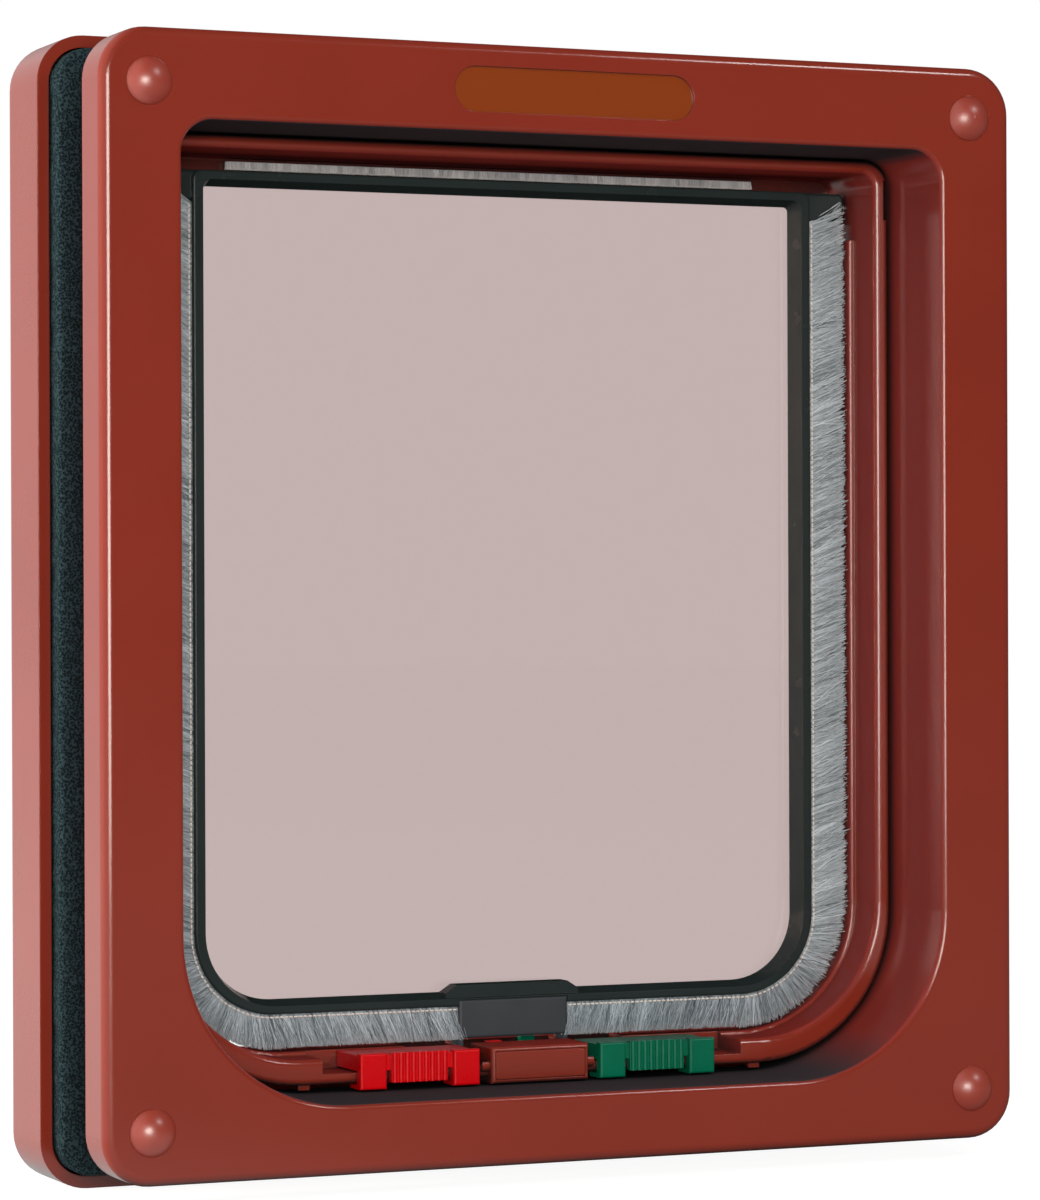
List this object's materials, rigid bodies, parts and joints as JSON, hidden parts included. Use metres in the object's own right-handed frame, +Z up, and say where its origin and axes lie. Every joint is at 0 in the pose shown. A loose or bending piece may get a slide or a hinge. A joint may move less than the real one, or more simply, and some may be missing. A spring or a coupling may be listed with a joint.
{
  "type": "cat flap",
  "caption": "Square pet door flap: clear flap hung in a two-part brown-red frame that clamps a door, with draught brushes and sliding locks in the sill.",
  "frame": {"origin": "middle of the room-side frame, in the plane where its rim meets the room face of the door", "axes": "+X to the right as seen from the room, +Y through the door to the outside, +Z up"},
  "size_m": [0.2, 0.0551, 0.224],
  "materials": {
    "frame_plastic": "moulded gloss",
    "gasket_foam": "closed-cell foam",
    "steel": "zinc plated",
    "magnet": "sintered ferrite",
    "brush_pile": "cut pile",
    "black_plastic": "moulded gloss",
    "clear_panel": "clear tinted sheet",
    "grey_plastic": "moulded satin",
    "red_plastic": "moulded gloss",
    "green_plastic": "moulded gloss"
  },
  "bodies": {
    "frame": {"front_frame": "frame_plastic", "back_frame": "frame_plastic", "foam_gasket": "gasket_foam", "screw_cap_top_left": "frame_plastic", "screw_cap_top_right": "frame_plastic", "screw_cap_bottom_left": "frame_plastic", "screw_cap_bottom_right": "frame_plastic", "frame_screw_top_left": "steel", "frame_screw_top_right": "steel", "frame_screw_bottom_left": "steel", "frame_screw_bottom_right": "steel", "magnet_cover": "frame_plastic", "frame_magnet": "magnet", "top_brush": "brush_pile"},
    "flap": {"flap_rim": "black_plastic", "flap_panel": "clear_panel", "magnet_housing": "grey_plastic", "flap_magnet": "magnet", "brush_left": "brush_pile", "brush_right": "brush_pile", "hinge_pin_left": "steel", "hinge_pin_right": "steel"},
    "red_slider": {"red_lock_slider": "red_plastic"},
    "green_slider": {"green_lock_slider": "green_plastic"}
  },
  "joints": [
    {"name": "flap_swing", "type": "hinge", "parent": "frame", "child": "flap", "pos_m": [0, 0.0244, 0.0832], "axis": [1, 0, 0], "range_deg": [-85, 85]},
    {"name": "red_lock_slide", "type": "slide", "parent": "frame", "child": "red_slider", "axis": [-1, 0, 0], "range_m": [0, 0.007]},
    {"name": "green_lock_slide", "type": "slide", "parent": "frame", "child": "green_slider", "axis": [1, 0, 0], "range_m": [0, 0.007]}
  ]
}
